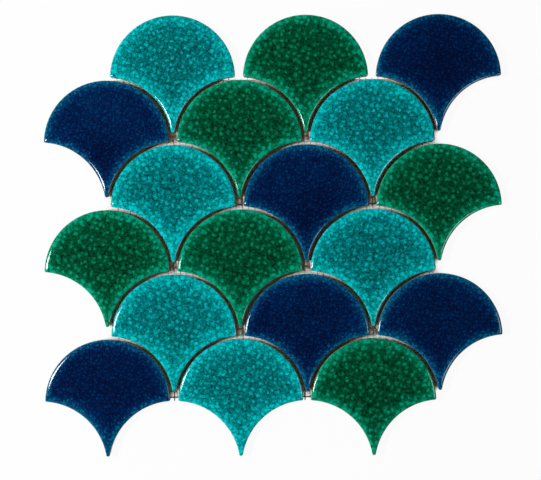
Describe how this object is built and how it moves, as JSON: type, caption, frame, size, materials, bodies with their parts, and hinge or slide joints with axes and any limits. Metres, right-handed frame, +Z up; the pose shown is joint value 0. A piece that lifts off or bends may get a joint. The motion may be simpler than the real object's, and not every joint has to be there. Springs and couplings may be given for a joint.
{
  "type": "mosaic tile sheet",
  "caption": "Flat sheet of crackle-glazed ceramic fan (fish-scale) mosaic tiles in turquoise, green and navy, glued on an open thread net that holds their joints.",
  "frame": {"origin": "on the floor under the middle of the sheet", "axes": "+X along the rows of fans, +Y towards their round tops, +Z up out of the glazed faces"},
  "size_m": [0.2924, 0.2818, 0.0076],
  "materials": {
    "turquoise_glaze": "gloss",
    "green_glaze": "gloss",
    "navy_glaze": "gloss",
    "net_yarn": "matte"
  },
  "bodies": {
    "root": {"fan_a1_turquoise": "turquoise_glaze", "fan_a2_green": "green_glaze", "fan_a3_navy": "navy_glaze", "fan_b1_navy": "navy_glaze", "fan_b2_green": "green_glaze", "fan_b3_turquoise": "turquoise_glaze", "fan_c1_turquoise": "turquoise_glaze", "fan_c2_navy": "navy_glaze", "fan_c3_green": "green_glaze", "fan_d1_green": "green_glaze", "fan_d2_green": "green_glaze", "fan_d3_turquoise": "turquoise_glaze", "fan_e1_turquoise": "turquoise_glaze", "fan_e2_navy": "navy_glaze", "fan_e3_navy": "navy_glaze", "fan_f1_navy": "navy_glaze", "fan_f2_turquoise": "turquoise_glaze", "fan_f3_green": "green_glaze", "net_warp": "net_yarn", "net_weft": "net_yarn"}
  },
  "joints": []
}
